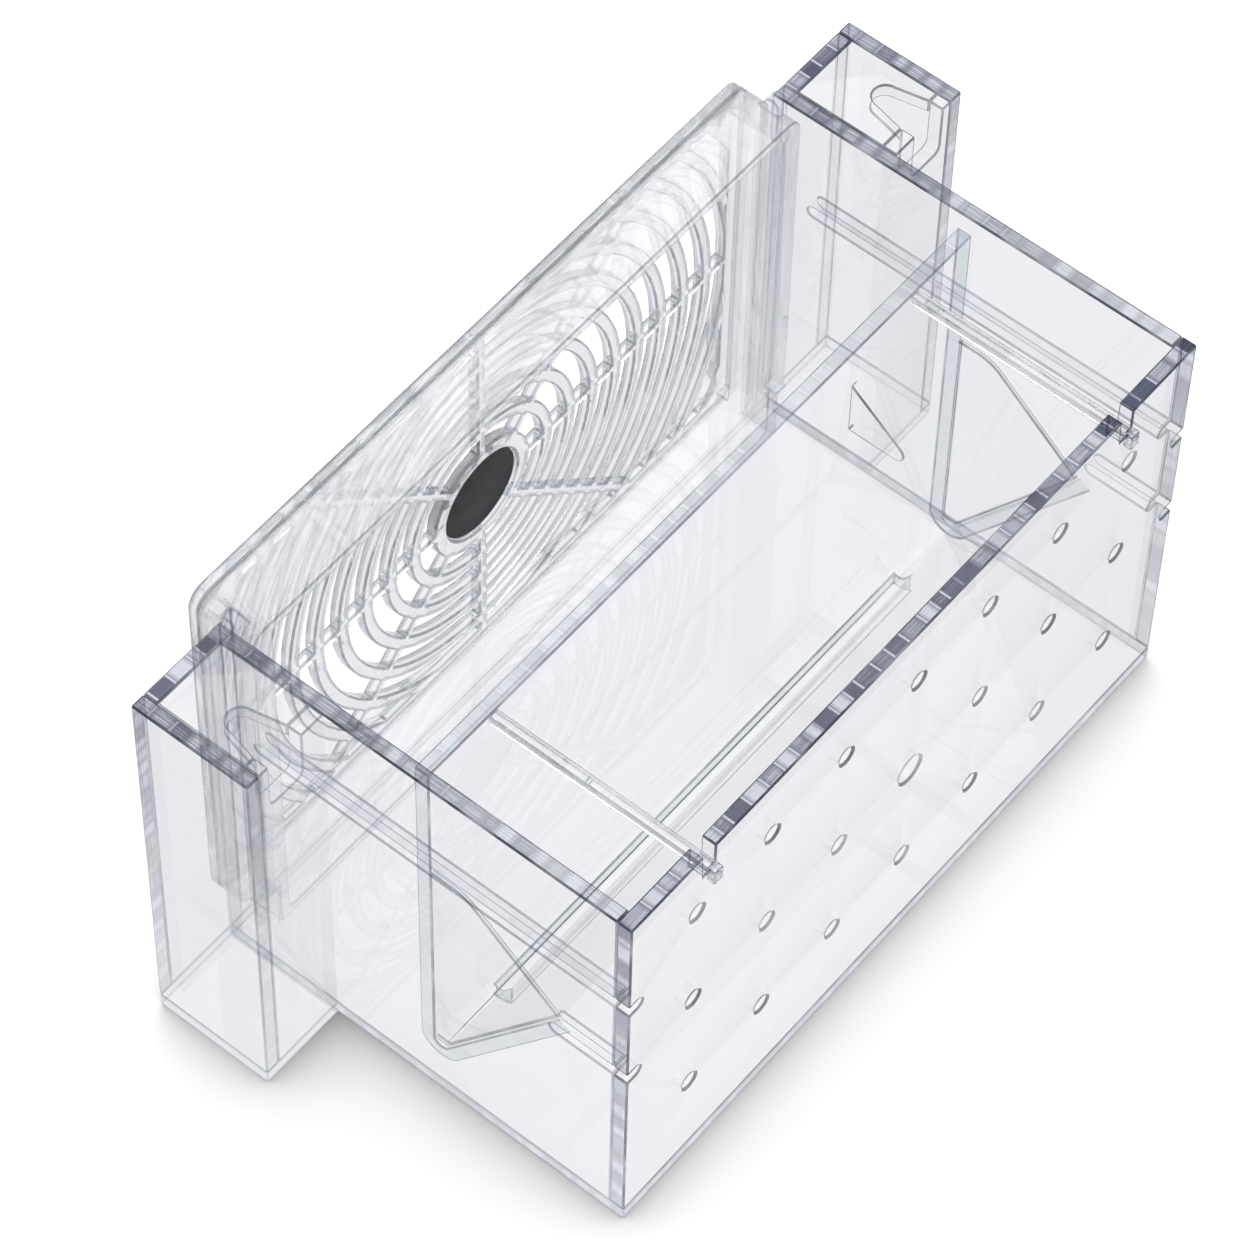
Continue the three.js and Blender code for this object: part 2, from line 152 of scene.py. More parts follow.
# Settings that a user would change
class BreedingBoxSettings(bpy.types.PropertyGroup):
    """Sizes and colours of the breeding box's finish and studio, with the painted shade and
    highlights of its edges among the colours
    """

    sheet_edge_round: FloatProperty(
        name="Sheet edge rounding", description="Radius of the flame polished sheet edges",
        default=0.45 * MM, min=0.0, unit="LENGTH")
    hole_mouth_round: FloatProperty(
        name="Hole mouth rounding",
        description="Radius of the wide mouths of the holes in the front wall",
        default=0.6 * MM, min=0.0, unit="LENGTH")
    grille_edge_round: FloatProperty(
        name="Grille edge rounding", description="Radius of the moulded grille's edges",
        default=0.5 * MM, min=0.0, unit="LENGTH")
    disc_edge_round: FloatProperty(
        name="Disc edge rounding", description="Radius of the black disc's edge",
        default=0.25 * MM, min=0.0, unit="LENGTH")
    clear_color: StringProperty(
        name="Clear acrylic", description="sRGB hex that each face of a sheet tints the view",
        default="#FDFDFD")
    # The rim and cut-edge colours below are painted shade and painted highlights, standing in for
    # what the clear edges refract and mirror: dark on the rims, pale near the floor. The divider's
    # cool green is the acrylic's own tint.
    rim_dark_color: StringProperty(
        name="Rim, dark", description="sRGB hex of the darkest cells of a rim",
        default="#565C74")
    rim_light_color: StringProperty(
        name="Rim, light", description="sRGB hex of the lightest cells of a rim",
        default="#DEE1EA")
    edge_pale_color: StringProperty(
        name="Cut edge, pale", description="sRGB hex of the cut edges near the floor",
        default="#F8F8FA")
    divider_edge_color: StringProperty(
        name="Divider edge, pale",
        description="sRGB hex of the cool green cut edges of the divider",
        default="#ECF2F4")
    # The arris colours below are painted: the dark one is painted shade standing in for the bending
    # of the view, the pale one the breaks in it.
    line_dark_color: StringProperty(
        name="Arris, dark", description="sRGB hex of the darkest arrises",
        default="#3C4154")
    line_pale_color: StringProperty(
        name="Arris, pale", description="sRGB hex of the palest arrises",
        default="#E2E4E9")
    shade_low_color: StringProperty(
        name="Shadow at the foot",
        description="sRGB hex that a face near the floor tints passing light",
        default="#808083")
    shade_high_color: StringProperty(
        name="Shadow at the rim",
        description="sRGB hex that a face near the rim tints passing light",
        default="#F6F6F7")
    disc_color: StringProperty(
        name="Disc", description="sRGB hex of the black disc", default="#141518")
    studio_color: StringProperty(
        name="Studio floor", description="sRGB hex of the studio floor", default="#FFFFFF")
    seen_through_color: StringProperty(
        name="Floor through acrylic", description="sRGB hex of the floor as acrylic shows it",
        default="#F2F2F6")


def settings():
    return bpy.context.scene.breeding_box


# Small helpers
def linear(hex_color):
    """The linear colour of an sRGB hex value."""
    digits = hex_color.lstrip("#")
    channels = [int(digits[i:i + 2], 16) / 255 for i in (0, 2, 4)]
    shares = [c / 12.92 if c <= 0.04045 else ((c + 0.055) / 1.055) ** 2.4 for c in channels]
    return (*shares, 1.0)


def add_node(tree, kind, inputs=None, **attributes):
    """Adds a node, sets its attributes, and sets or links each input by its name or number."""
    node = tree.nodes.new(kind)
    for name, value in attributes.items():
        setattr(node, name, value)
    for name, value in (inputs or {}).items():
        if isinstance(value, bpy.types.NodeSocket):
            tree.links.new(value, node.inputs[name])
        else:
            node.inputs[name].default_value = value
    return node


def new_material(name):
    material = bpy.data.materials.new(name)
    material.use_nodes = True
    material.node_tree.nodes.clear()
    return material, material.node_tree


# Materials
def straight_through(tree, color):
    """Clear acrylic as a thin pane shows it: the view goes straight on, tinted, under a mirror
    share."""
    outer = add_node(tree, "ShaderNodeNewGeometry")
    entering = add_node(tree, "ShaderNodeBsdfRefraction", {
        "Color": color, "Roughness": 0.0, "IOR": 1.0})
    leaving = add_node(tree, "ShaderNodeBsdfTransparent", {"Color": color})
    through = add_node(tree, "ShaderNodeMixShader", {
        0: outer.outputs["Backfacing"], 1: entering.outputs[0], 2: leaving.outputs[0]})
    mirror = add_node(tree, "ShaderNodeBsdfGlossy", {"Roughness": 0.0})
    share = add_node(tree, "ShaderNodeFresnel", {"IOR": PMMA_IOR})
    outer_share = add_node(tree, "ShaderNodeMix", {
        "Factor": outer.outputs["Backfacing"], "A": share.outputs[0], "B": 0.0})
    return add_node(tree, "ShaderNodeMixShader", {
        0: outer_share.outputs["Result"], 1: through.outputs[0], 2: mirror.outputs[0]})


def let_light_through(tree, shader, place):
    """Lamps and the light off the floor pass the acrylic straight, less so at its foot, where the
    light grazes along the floor panel, so the shadow is light and gathers close round the box."""
    look = settings()
    path = add_node(tree, "ShaderNodeLightPath")
    lit = add_node(tree, "ShaderNodeMath", {
        0: path.outputs["Is Shadow Ray"], 1: path.outputs["Is Diffuse Ray"]}, operation="MAXIMUM")
    height = add_node(tree, "ShaderNodeSeparateXYZ", {0: place.outputs["Object"]})
    rise = add_node(tree, "ShaderNodeMapRange", {
        "Value": height.outputs["Z"], "From Min": 0.0, "From Max": SHADE_HEIGHT,
    }, interpolation_type="SMOOTHSTEP")
    shade = add_node(tree, "ShaderNodeMix", {
        "Factor": rise.outputs[0],
        "A": linear(look.shade_low_color), "B": linear(look.shade_high_color),
    }, data_type="RGBA")
    clear = add_node(tree, "ShaderNodeBsdfTransparent", {"Color": shade.outputs["Result"]})
    mixed = add_node(tree, "ShaderNodeMixShader", {
        0: lit.outputs[0], 1: shader.outputs[0], 2: clear.outputs[0]})
    add_node(tree, "ShaderNodeOutputMaterial", {"Surface": mixed.outputs[0]})


def sheet_face():
    """Cast acrylic (PMMA) sheet, with its masking film peeled off: the eye sees a flat, glass clear
    pane with a mirror polish."""
    name = "cast_acrylic_face"
    if name in bpy.data.materials:
        return bpy.data.materials[name]
    material, tree = new_material(name)
    place = add_node(tree, "ShaderNodeTexCoord")
    haze = add_node(tree, "ShaderNodeTexNoise", {
        "Vector": place.outputs["Object"], "Scale": 1 / HAZE_LENGTH, "Detail": 1.0})
    tint = add_node(tree, "ShaderNodeMix", {
        "Factor": haze.outputs["Fac"], "A": linear(settings().clear_color), "B": linear("#FFFFFF"),
    }, data_type="RGBA")
    let_light_through(tree, straight_through(tree, tint.outputs["Result"]), place)
    return material


def outward(tree, place):
    """The parts of the face's outward direction, also where the view meets the face from inside."""
    side = add_node(tree, "ShaderNodeNewGeometry")
    sign = add_node(tree, "ShaderNodeMapRange", {
        "Value": side.outputs["Backfacing"], "To Min": 1.0, "To Max": -1.0})
    normal = add_node(tree, "ShaderNodeVectorMath", {
        0: place.outputs["Normal"], "Scale": sign.outputs[0]}, operation="SCALE")
    return add_node(tree, "ShaderNodeSeparateXYZ", {0: normal.outputs["Vector"]})


def faces_up(tree, place):
    """How far the surface faces up, from none to all."""
    turn = outward(tree, place)
    return add_node(tree, "ShaderNodeMapRange", {
        "Value": turn.outputs["Z"], "From Min": 0.1, "From Max": 0.35}).outputs[0]


def front_fade(tree, along, axis):
    """The painted shade on the cut edges of sheets that are thin along X is lighter towards the
    front and the foot, so they are paler there.
    """
    if axis != "X":
        return 1.0
    return add_node(tree, "ShaderNodeMapRange", {
        "Value": along, "From Min": FADE_START, "From Max": FADE_END,
        "To Min": 0.5, "To Max": 1.0}).outputs[0]


def edge_depth(tree, place, shares, level_share):
    """How dark the painted shade on a cut edge or arris is, standing in for the dark surroundings
    that it refracts and mirrors: the rim's share on the rim, where it looks down the whole sheet,
    and elsewhere from the foot's share to the top's with its height, times the rear's share where
    it faces the rear and the level share where it lies level."""
    rim, foot, top, rear = shares
    turn = outward(tree, place)
    height = add_node(tree, "ShaderNodeSeparateXYZ", {0: place.outputs["Object"]})
    at_rim = add_node(tree, "ShaderNodeMapRange", {
        "Value": height.outputs["Z"],
        "From Min": RIM_HEIGHT - 4 * MM, "From Max": RIM_HEIGHT - 2 * MM})
    on_rim = add_node(tree, "ShaderNodeMath", {
        0: faces_up(tree, place), 1: at_rim.outputs[0]}, operation="MULTIPLY")
    rim_share = add_node(tree, "ShaderNodeMath", {
        0: on_rim.outputs[0], 1: rim}, operation="MULTIPLY")
    level = add_node(tree, "ShaderNodeMath", {0: turn.outputs["Z"]}, operation="ABSOLUTE")
    upright = add_node(tree, "ShaderNodeMapRange", {
        "Value": level.outputs[0], "From Min": 0.3, "From Max": 0.9,
        "To Min": 1.0, "To Max": level_share})
    side = add_node(tree, "ShaderNodeMapRange", {
        "Value": height.outputs["Z"], "From Min": 0.0, "From Max": RIM_HEIGHT,
        "To Min": foot, "To Max": top})
    forward = add_node(tree, "ShaderNodeMapRange", {
        "Value": turn.outputs["Y"], "From Min": 0.3, "From Max": 0.9,
        "To Min": 1.0, "To Max": rear})
    turned_share = add_node(tree, "ShaderNodeMath", {
        0: forward.outputs[0], 1: upright.outputs[0]}, operation="MULTIPLY")
    side_share = add_node(tree, "ShaderNodeMath", {
        0: side.outputs[0], 1: turned_share.outputs[0]}, operation="MULTIPLY")
    return add_node(tree, "ShaderNodeMath", {
        0: rim_share.outputs[0], 1: side_share.outputs[0]}, operation="MAXIMUM").outputs[0]


def along_and_across(tree, place, axis):
    """Coordinates along a cut edge and across the sheet's thickness, whichever way it runs."""
    parts = add_node(tree, "ShaderNodeSeparateXYZ", {0: place.outputs["Object"]})
    first, second = [parts.outputs[name] for name in AXES if name != axis]
    along = add_node(tree, "ShaderNodeMath", {0: first, 1: second}, operation="ADD")
    return along.outputs[0], parts.outputs[axis]


def rim_seams(tree, place, along, distance, strength, rarity):
    """Painted highlights on the borders between the cells of a rim, in some patches and only where
    it faces up.
    """
    line = add_node(tree, "ShaderNodeMapRange", {
        "Value": distance, "From Min": 0.03, "From Max": 0.08,
        "To Min": strength, "To Max": 0.0})
    patches = add_node(tree, "ShaderNodeTexNoise", {
        "W": along, "Scale": 1 / PATCH_LENGTH, "Detail": 1.0}, noise_dimensions="1D")
    shown = add_node(tree, "ShaderNodeMapRange", {
        "Value": patches.outputs["Fac"], "From Min": rarity, "From Max": rarity + 0.06})
    on_rim = add_node(tree, "ShaderNodeMath", {
        0: shown.outputs[0], 1: faces_up(tree, place)}, operation="MULTIPLY")
    return add_node(tree, "ShaderNodeMath", {
        0: line.outputs[0], 1: on_rim.outputs[0]}, operation="MULTIPLY").outputs[0]


def polishing_streaks(tree, along, across):
    """Fine streaks that run along a cut edge."""
    run = add_node(tree, "ShaderNodeMath", {0: along, 1: 1 / STREAK_LENGTH}, operation="MULTIPLY")
    rise = add_node(tree, "ShaderNodeMath", {0: across, 1: 1 / STREAK_WIDTH}, operation="MULTIPLY")
    spot = add_node(tree, "ShaderNodeCombineXYZ", {0: run.outputs[0], 1: rise.outputs[0]})
    return add_node(tree, "ShaderNodeTexNoise", {
        "Vector": spot.outputs[0], "Scale": 1.0, "Detail": 3.0}).outputs["Fac"]


def edge_cells(tree, place, axis, along, across):
    """How light a cut edge is along its length: cells with darker outlines, streaks, and painted
    highlights on the cell borders.
    """
    highlight_strength, highlight_rarity, streak_share = CELL_LOOK.get(axis, PLAIN_LOOK)
    cells = add_node(tree, "ShaderNodeTexVoronoi", {
        "W": along, "Scale": 1 / CELL_LENGTH}, voronoi_dimensions="1D")
    cell = add_node(tree, "ShaderNodeSeparateColor", {0: cells.outputs["Color"]})
    borders = add_node(tree, "ShaderNodeTexVoronoi", {
        "W": along, "Scale": 1 / CELL_LENGTH}, voronoi_dimensions="1D", feature="DISTANCE_TO_EDGE")
    distance = borders.outputs["Distance"]
    outline = add_node(tree, "ShaderNodeMapRange", {
        "Value": distance, "From Min": 0.08, "From Max": 0.3, "To Min": 0.4, "To Max": 1.0})
    tone = add_node(tree, "ShaderNodeMix", {
        "Factor": streak_share, "A": cell.outputs[0], "B": polishing_streaks(tree, along, across)})
    spread = add_node(tree, "ShaderNodeMapRange", {
        "Value": tone.outputs["Result"], "From Min": 0.34, "From Max": 0.66})
    outlined = add_node(tree, "ShaderNodeMath", {
        0: spread.outputs[0], 1: outline.outputs[0]}, operation="MULTIPLY")
    rim_highlights = rim_seams(tree, place, along, distance, highlight_strength, highlight_rarity)
    return add_node(tree, "ShaderNodeMath", {
        0: outlined.outputs[0], 1: rim_highlights}, operation="MAXIMUM").outputs[0]


def share_name(start, shares):
    """A material's name, with its shares as whole per cents."""
    return "_".join([start] + [str(round(share * 100)) for share in shares])


def cut_edge(axis, shares, pale_color=None):
    """Laser cut, flame polished edge of a sheet that is thin along this axis. It gathers light from
    the whole sheet, so the eye sees bluish grey cells, with fine streaks along them; here the view
    goes straight through, and that light and shade is painted into its colour."""
    look = settings()
    name = share_name(f"cast_acrylic_cut_edge_{axis.lower()}", shares)
    if name in bpy.data.materials:
        return bpy.data.materials[name]
    material, tree = new_material(name)
    place = add_node(tree, "ShaderNodeTexCoord")
    along, across = along_and_across(tree, place, axis)
    band = add_node(tree, "ShaderNodeMix", {
        "Factor": edge_cells(tree, place, axis, along, across),
        "A": linear(look.rim_dark_color), "B": linear(look.rim_light_color),
    }, data_type="RGBA")
    depth = add_node(tree, "ShaderNodeMath", {
        0: edge_depth(tree, place, shares, LEVEL_EDGE_SHARE),
        1: front_fade(tree, along, axis)}, operation="MULTIPLY")
    color = add_node(tree, "ShaderNodeMix", {
        "Factor": depth.outputs[0],
        "A": linear(pale_color or look.edge_pale_color), "B": band.outputs["Result"],
    }, data_type="RGBA")
    let_light_through(tree, straight_through(tree, color.outputs["Result"]), place)
    return material


def arris(shares):
    """The narrow corner that polishing leaves along a cut edge. It bends the view away, so the eye
    sees a thin dark line with pale breaks; here the view goes straight through, and that line is
    painted on as shade, with pale breaks."""
    look = settings()
    name = share_name("cast_acrylic_arris", shares)
    if name in bpy.data.materials:
        return bpy.data.materials[name]
    material, tree = new_material(name)
    place = add_node(tree, "ShaderNodeTexCoord")
    breaks = add_node(tree, "ShaderNodeTexNoise", {
        "Vector": place.outputs["Object"], "Scale": 1 / BREAK_LENGTH, "Detail": 2.0})
    spread = add_node(tree, "ShaderNodeMapRange", {
        "Value": breaks.outputs["Fac"], "From Min": 0.35, "From Max": 0.55,
        "To Min": 0.45, "To Max": 1.0})
    dark = add_node(tree, "ShaderNodeMath", {
        0: edge_depth(tree, place, shares, LEVEL_ARRIS_SHARE),
        1: spread.outputs[0]}, operation="MULTIPLY")
    color = add_node(tree, "ShaderNodeMix", {
        "Factor": dark.outputs[0],
        "A": linear(look.line_pale_color), "B": linear(look.line_dark_color),
    }, data_type="RGBA")
    let_light_through(tree, straight_through(tree, color.outputs["Result"]), place)
    return material


def acrylic_bars(name, glass_share):
    """Clear acrylic in narrow bars, injection moulded in the cassette and sawn from cast sheet in
    the arms. They bend what is behind them, so the eye sees bright and dark lines along them."""
    material, tree = new_material(name)
    look = settings()
    place = add_node(tree, "ShaderNodeTexCoord")
    waves = add_node(tree, "ShaderNodeTexNoise", {
        "Vector": place.outputs["Object"], "Scale": 1 / WAVE_LENGTH, "Detail": 1.0})
    bump = add_node(tree, "ShaderNodeBump", {
        "Height": waves.outputs["Fac"], "Strength": 0.1, "Distance": WAVE_DEPTH})
    solid = add_node(tree, "ShaderNodeBsdfPrincipled", {
        "Base Color": linear(look.clear_color), "Roughness": 0.0, "IOR": PMMA_IOR,
        "Transmission Weight": 1.0, "Normal": bump.outputs[0]})
    pane = straight_through(tree, linear(look.clear_color))
    shader = add_node(tree, "ShaderNodeMixShader", {
        0: glass_share, 1: pane.outputs[0], 2: solid.outputs[0]})
    let_light_through(tree, shader, place)
    return material


def black_plastic():
    """Moulded black polypropylene with a fine satin grain, so it shows a soft grey sheen."""
    material, tree = new_material("moulded_polypropylene_black")
    look = settings()
    place = add_node(tree, "ShaderNodeTexCoord")
    grain = add_node(tree, "ShaderNodeTexNoise", {
        "Vector": place.outputs["Object"], "Scale": 1 / GRAIN_SIZE, "Detail": 3.0})
    bump = add_node(tree, "ShaderNodeBump", {
        "Height": grain.outputs["Fac"], "Strength": 0.15, "Distance": GRAIN_DEPTH})
    rough = add_node(tree, "ShaderNodeMapRange", {
        "Value": grain.outputs["Fac"], "To Min": 0.4, "To Max": 0.6})
    shader = add_node(tree, "ShaderNodeBsdfPrincipled", {
        "Base Color": linear(look.disc_color), "Roughness": rough.outputs[0],
        "Specular IOR Level": SATIN_SHEEN, "Normal": bump.outputs[0]})
    add_node(tree, "ShaderNodeOutputMaterial", {"Surface": shader.outputs[0]})
    return material


# Pieces
def dress(node, materials, round_of, body, is_cut=None, segments=EDGE_SEGMENTS):
    """A piece over a CAD node: the node's own shape, joined up, with its sharp edges rounded. Its
    faces take the first material, its cut edges the second and its rounded arrises the last."""
    mesh = bpy.data.meshes.new(node + "_dressed")
    form = bmesh.new()
    form.from_mesh(frame["nodes"][node].data)
    bmesh.ops.remove_doubles(form, verts=form.verts, dist=MERGE_DISTANCE)
    bmesh.ops.dissolve_limit(form, angle_limit=FLAT_ANGLE, verts=form.verts, edges=form.edges)
    others = neighbours(node, body)
    for face in form.faces:
        middle = face.calc_center_median()
        open_cut = is_cut and is_cut(face) and not buried(middle, face.normal, others)
        face.material_index = 1 if open_cut else 0
    sharp = [edge for edge in form.edges if is_sharp(edge) and not buried(
        (edge.verts[0].co + edge.verts[1].co) / 2,
        edge.link_faces[0].normal + edge.link_faces[1].normal, others)]
    radii = {edge: round_of(edge) for edge in sharp}
    for radius in sorted(set(radii.values()) - {0.0}):
        alike = [edge for edge in sharp if edge.is_valid and radii[edge] == radius]
        rounded = bmesh.ops.bevel(
            form, geom=alike, offset=radius, offset_type="OFFSET", affect="EDGES",
            segments=segments, profile=0.5, material=-1, clamp_overlap=False)
        for face in rounded["faces"]:
            face.material_index = len(materials) - 1
    for face in form.faces:
        face.smooth = True
    fill_flats(form, len(materials) - 1)
    form.to_mesh(mesh)
    form.free()
    mesh.set_sharp_from_angle(angle=SMOOTH_ANGLE)
    piece = bpy.data.objects.new(node + "_dressed", mesh)
    bpy.context.collection.objects.link(piece)
    for material in materials:
        mesh.materials.append(material)
    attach(piece, body)
    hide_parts(node)
    return piece


def fill_flats(form, arris_index):
    """Flat faces with openings in them are filled anew from their outlines, so that none covers
    another. Arrises are left as they are, unless the piece has a single material."""
    flats = {}
    for face in form.faces:
        if face.material_index != arris_index or arris_index == 0:
            plane = [round(value, 2) for value in face.normal]
            level = round(face.normal.dot(face.verts[0].co) / LEVEL_STEP)
            flats.setdefault((*plane, level), []).append(face)
    for faces in flats.values():
        if max(len(face.verts) for face in faces) < OPEN_OUTLINE:
            continue
        within = set(faces)
        edges = list(dict.fromkeys(edge for face in faces for edge in face.edges))
        outline = [edge for edge in edges if not set(edge.link_faces) <= within]
        inner = [edge for edge in edges if set(edge.link_faces) <= within]
        normal, index = faces[0].normal.copy(), faces[0].material_index
        bmesh.ops.delete(form, geom=faces, context="FACES_ONLY")
        bmesh.ops.delete(form, geom=inner, context="EDGES")
        filled = bmesh.ops.triangle_fill(form, use_beauty=True, edges=outline, normal=normal)
        for face in filled["geom"]:
            if isinstance(face, bmesh.types.BMFace):
                face.material_index = index
                if face.normal.dot(normal) < 0:
                    face.normal_flip()


def neighbours(node, body):
    """The solids glued to this node: the others of its body."""
    trees = []
    for other in frame["record"]["behaviour"]["bodies"][body]:
        if other != node:
            form = bmesh.new()
            form.from_mesh(frame["nodes"][other].data)
            bmesh.ops.remove_doubles(form, verts=form.verts, dist=MERGE_DISTANCE)
            trees.append(BVHTree.FromBMesh(form))
            form.free()
    return trees


def buried(point, direction, trees):
    """Whether the spot just outside this point lies inside a neighbour, as at a glued joint."""
    spot = point + PROBE * direction
    for tree in trees:
        surface, normal, _, distance = tree.find_nearest(spot)
        if distance < 2 * PROBE and (spot - surface).dot(normal) < 0:
            return True
    return False


def is_sharp(edge):
    return len(edge.link_faces) == 2 and edge.calc_face_angle() > SHARP_ANGLE


def across(axis):
    """A test for the cut edges of a flat sheet: they face away from the axis that it is thin
    along."""
    number = AXES.index(axis)
    return lambda face: abs(face.normal[number]) < 0.5 and face.calc_area() > SMALLEST_CUT


def is_strip(face):
    """A test for the divider's cut edges: as narrow as its sheet is thick, between sharp edges, and
    not the ramp's tip, which all but vanishes behind the front wall."""
    outline = sum(edge.calc_length() for edge in face.edges)
    sharp = sum(edge.calc_length() for edge in face.edges if is_sharp(edge))
    narrow = 2 * face.calc_area() / outline < STRIP_WIDTH
    at_tip = face.calc_center_median().y < RAMP_TIP
    return narrow and sharp / outline > STRIP_SHARP_SHARE and not at_tip


def evenly(radius):
    """The same rounding for each edge."""
    return lambda edge: radius


def front_wall_round(edge):
    """The holes have a wide mouth outside and stay crisp inside; all else is rounded evenly."""
    look = settings()
    walls = [f.normal for f in edge.link_faces if abs(f.normal.y) < 0.5]
    oblique = any(max(abs(normal.x), abs(normal.z)) < NEARLY_SQUARE for normal in walls)
    if not oblique or abs(edge.verts[0].co.x) > HOLES_REACH:
        return look.sheet_edge_round
    return look.hole_mouth_round if any(f.normal.y < -0.5 for f in edge.link_faces) else 0.0


def divider_round(edge):
    """The ramp's tip stays crisp, so that it all but vanishes behind the front wall."""
    at_tip = all(vert.co.y < RAMP_TIP for vert in edge.verts)
    return 0.0 if at_tip else settings().sheet_edge_round


def dress_sheets(pieces, body, edge_shares, arris_shares, round_of=None):
    """Dresses flat sheets, each given with the axis that it is thin along."""
    for node, axis in pieces.items():
        finishes = [sheet_face(), cut_edge(axis, edge_shares), arris(arris_shares)]
        dress(node, finishes, round_of or evenly(settings().sheet_edge_round),
              body, is_cut=across(axis))


class BREEDBOX_OT_tank(bpy.types.Operator):
    """The floor, the drilled front wall and the two slotted end walls"""

    bl_idname = "breedbox.tank"
    bl_label = "Tank sheets"

    def execute(self, context):
        dress_sheets({"floor_panel": "Z", "left_end_wall": "X", "right_end_wall": "X"},
                     "box", TANK_EDGE, TANK_ARRIS)
        dress_sheets({"front_wall": "Y"}, "box", TANK_EDGE, FRONT_ARRIS,
                     round_of=front_wall_round)
        return {"FINISHED"}


class BREEDBOX_OT_ears(bpy.types.Operator):
    """The two hollow side ears"""

    bl_idname = "breedbox.ears"
    bl_label = "Side ears"

    def execute(self, context):
        for side in ("left", "right"):
            dress_sheets({f"{side}_ear_outer_wall": "X"},
                         "box", EAR_EDGE[side], EAR_ARRIS[side])
            dress_sheets({f"{side}_ear_front_wall": "Y", f"{side}_ear_top_plate": "Z"},
                         "box", EAR_PLATE_EDGE, EAR_PLATE_ARRIS[side])
            dress_sheets({f"{side}_ear_floor": "Z", f"{side}_ear_rear_wall": "Y"},
                         "box", EAR_BACK_EDGE, EAR_BACK_ARRIS)
        return {"FINISHED"}


class BREEDBOX_OT_guides(bpy.types.Operator):
    """The guide rails and the wedge on the end walls"""

    bl_idname = "breedbox.guides"
    bl_label = "Guides"

    def execute(self, context):
        dress_sheets({"left_guide_rail": "X", "right_guide_rail": "X"},
                     "box", GUIDE_EDGE, GUIDE_ARRIS)
        dress_sheets({"right_wall_wedge": "X"}, "box", INSERT_EDGE, WEDGE_ARRIS)
        return {"FINISHED"}


class BREEDBOX_OT_cassette(bpy.types.Operator):
    """The grille cassette: its rim, the ring grille and the black disc"""

    bl_idname = "breedbox.cassette"
    bl_label = "Grille cassette"

    def execute(self, context):
        look = settings()
        rim = [acrylic_bars("moulded_acrylic_rim", RIM_GLASS), arris(CASSETTE_ARRIS)]
        dress("cassette_rim", rim, evenly(look.sheet_edge_round),
              "grille_cassette")
        grille = [acrylic_bars("moulded_acrylic_grille", GRILLE_GLASS), arris(GRILLE_ARRIS)]
        dress("grille_plate", grille, evenly(look.grille_edge_round),
              "grille_cassette")
        dress("hub_disc", [black_plastic()], evenly(look.disc_edge_round),
              "grille_cassette", segments=DISC_SEGMENTS)
        return {"FINISHED"}


class BREEDBOX_OT_divider(bpy.types.Operator):
    """The bent divider sheet with its cheeks and arms"""

    bl_idname = "breedbox.divider"
    bl_label = "Divider insert"

    def execute(self, context):
        look = settings()
        edge = cut_edge("Y", INSERT_EDGE, look.divider_edge_color)
        dress("divider_sheet", [sheet_face(), edge, arris(INSERT_ARRIS)], divider_round,
              "divider_insert", is_cut=is_strip)
        dress_sheets({"left_cheek": "X", "right_cheek": "X"},
                     "divider_insert", INSERT_EDGE, INSERT_ARRIS)
        bar = [acrylic_bars("cast_acrylic_bar", ARM_GLASS), arris(BAR_ARRIS)]
        for side in ("left", "right"):
            dress(f"{side}_arm", bar, evenly(look.sheet_edge_round),
                  "divider_insert")
        return {"FINISHED"}


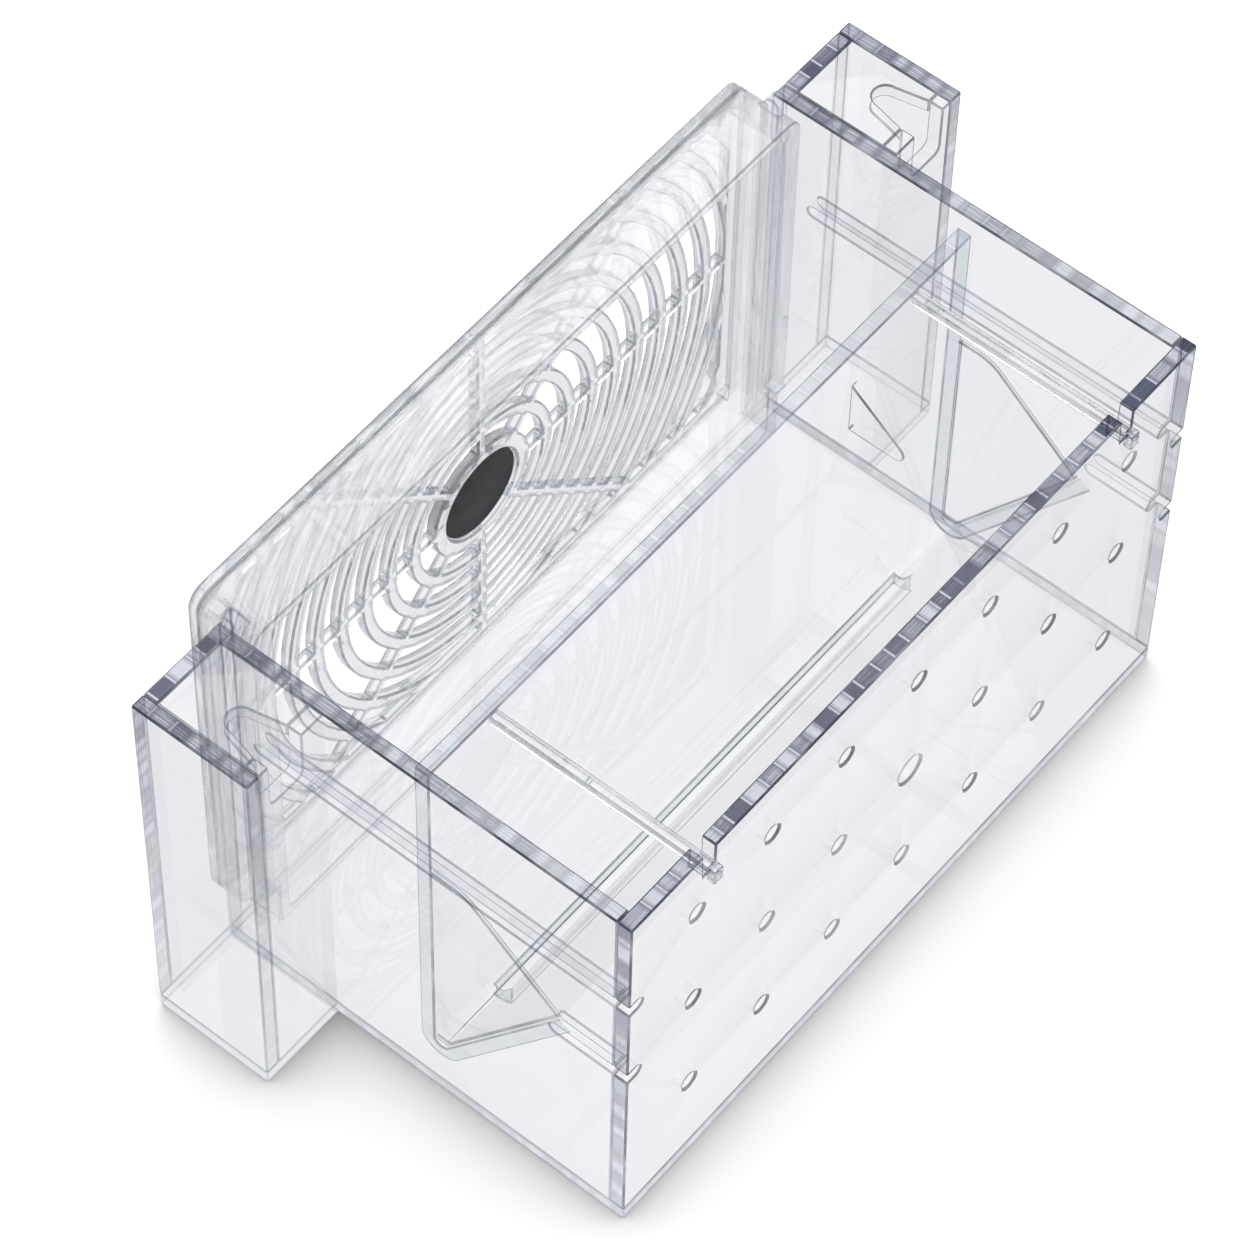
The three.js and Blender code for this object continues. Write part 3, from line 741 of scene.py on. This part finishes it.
# Stage
class BREEDBOX_OT_stage(bpy.types.Operator):
    """The white floor, the soft studio light and the camera"""

    bl_idname = "breedbox.stage"
    bl_label = "Studio"

    def execute(self, context):
        self.floor()
        self.world()
        self.lamps()
        self.camera()
        return {"FINISHED"}

    def floor(self):
        """White paper, which shows a little darker where it is seen through the acrylic."""
        form = bmesh.new()
        bmesh.ops.create_grid(form, x_segments=1, y_segments=1, size=FLOOR_SPAN / 2)
        bmesh.ops.translate(form, verts=form.verts, vec=(0, 0, -FLOOR_GAP))
        mesh = bpy.data.meshes.new("studio_floor")
        form.to_mesh(mesh)
        form.free()
        piece = bpy.data.objects.new("studio_floor", mesh)
        bpy.context.collection.objects.link(piece)
        material, tree = new_material("matt_paper_white")
        look = settings()
        paper = add_node(tree, "ShaderNodeBsdfDiffuse", {"Color": linear(look.studio_color)})
        bright = add_node(tree, "ShaderNodeEmission", {"Color": linear(look.seen_through_color)})
        path = add_node(tree, "ShaderNodeLightPath")
        through = add_node(tree, "ShaderNodeMath", {
            0: path.outputs["Is Glossy Ray"],
            1: path.outputs["Is Transmission Ray"]}, operation="MAXIMUM")
        shader = add_node(tree, "ShaderNodeMixShader", {
            0: through.outputs[0], 1: paper.outputs[0], 2: bright.outputs[0]})
        add_node(tree, "ShaderNodeOutputMaterial", {"Surface": shader.outputs[0]})
        mesh.materials.append(material)

    def world(self):
        """White light from above, dimmer near the horizon, so that mirror shares stay soft."""
        world = bpy.data.worlds.new("studio_light")
        world.use_nodes = True
        tree = world.node_tree
        tree.nodes.clear()
        sky = add_node(tree, "ShaderNodeTexCoord")
        height = add_node(tree, "ShaderNodeSeparateXYZ", {0: sky.outputs["Generated"]})
        ramp = add_node(tree, "ShaderNodeMapRange", {
            "Value": height.outputs["Z"], "From Min": 0.05, "From Max": 0.5,
            "To Min": SKY_STRENGTH_LOW, "To Max": SKY_STRENGTH_HIGH,
        }, interpolation_type="SMOOTHSTEP")
        path = add_node(tree, "ShaderNodeLightPath")
        seen = add_node(tree, "ShaderNodeMath", {
            0: path.outputs["Is Transmission Ray"], 1: SKY_STRENGTH_THROUGH}, operation="MULTIPLY")
        strength = add_node(tree, "ShaderNodeMath", {
            0: ramp.outputs[0], 1: seen.outputs[0]}, operation="MAXIMUM")
        light = add_node(tree, "ShaderNodeBackground", {
            "Color": linear("#FFFFFF"), "Strength": strength.outputs[0]})
        add_node(tree, "ShaderNodeOutputWorld", {"Surface": light.outputs[0]})
        bpy.context.scene.world = world

    def lamps(self):
        lamp = bpy.data.lights.new("softbox_above", "AREA")
        lamp.shape = "RECTANGLE"
        lamp.size = LAMP_SPAN
        lamp.size_y = LAMP_SPAN
        lamp.energy = LAMP_POWER
        lamp_object = bpy.data.objects.new("softbox_above", lamp)
        lamp_object.location = LAMP_PLACE
        lamp_object.rotation_euler = LAMP_PLACE.to_track_quat("Z", "Y").to_euler()
        bpy.context.collection.objects.link(lamp_object)

    def camera(self):
        lens = bpy.data.cameras.new("camera")
        lens.sensor_width = SENSOR_WIDTH
        lens.lens = CAMERA_LENS
        lens.clip_end = CAMERA_REACH
        camera = bpy.data.objects.new("camera", lens)
        turn = (Matrix.Rotation(-CAMERA_AZIMUTH, 4, "Z")
                @ Matrix.Rotation(math.pi / 2 - CAMERA_ELEVATION, 4, "X")
                @ Matrix.Rotation(CAMERA_ROLL, 4, "Z"))
        back = turn @ Vector((0, 0, CAMERA_DISTANCE))
        camera.matrix_world = Matrix.Translation(CAMERA_TARGET + back) @ turn
        bpy.context.collection.objects.link(camera)
        bpy.context.scene.camera = camera
        bpy.context.scene.view_settings.view_transform = "Standard"


class BREEDBOX_PT_panel(bpy.types.Panel):
    """Lists the breeding box's pieces and settings"""

    bl_idname = "BREEDBOX_PT_panel"
    bl_label = "Breeding Box"
    bl_space_type = "VIEW_3D"
    bl_region_type = "UI"
    bl_category = "Breeding Box"

    def draw(self, context):
        look = context.scene.breeding_box
        for name in BreedingBoxSettings.__annotations__:
            self.layout.prop(look, name)
        for operator in OPERATORS:
            self.layout.operator(operator.bl_idname)


OPERATORS = (
    BREEDBOX_OT_tank,
    BREEDBOX_OT_ears,
    BREEDBOX_OT_guides,
    BREEDBOX_OT_cassette,
    BREEDBOX_OT_divider,
    BREEDBOX_OT_stage,
)
CLASSES = (BreedingBoxSettings, *OPERATORS, BREEDBOX_PT_panel)


def register():
    for cls in CLASSES:
        bpy.utils.register_class(cls)
    bpy.types.Scene.breeding_box = PointerProperty(type=BreedingBoxSettings)


def unregister():
    del bpy.types.Scene.breeding_box
    for cls in reversed(CLASSES):
        bpy.utils.unregister_class(cls)


def main():
    register()
    bpy.ops.breedbox.tank()
    bpy.ops.breedbox.ears()
    bpy.ops.breedbox.guides()
    bpy.ops.breedbox.cassette()
    bpy.ops.breedbox.divider()
    bpy.ops.breedbox.stage()


if __name__ == "__main__":
    main()
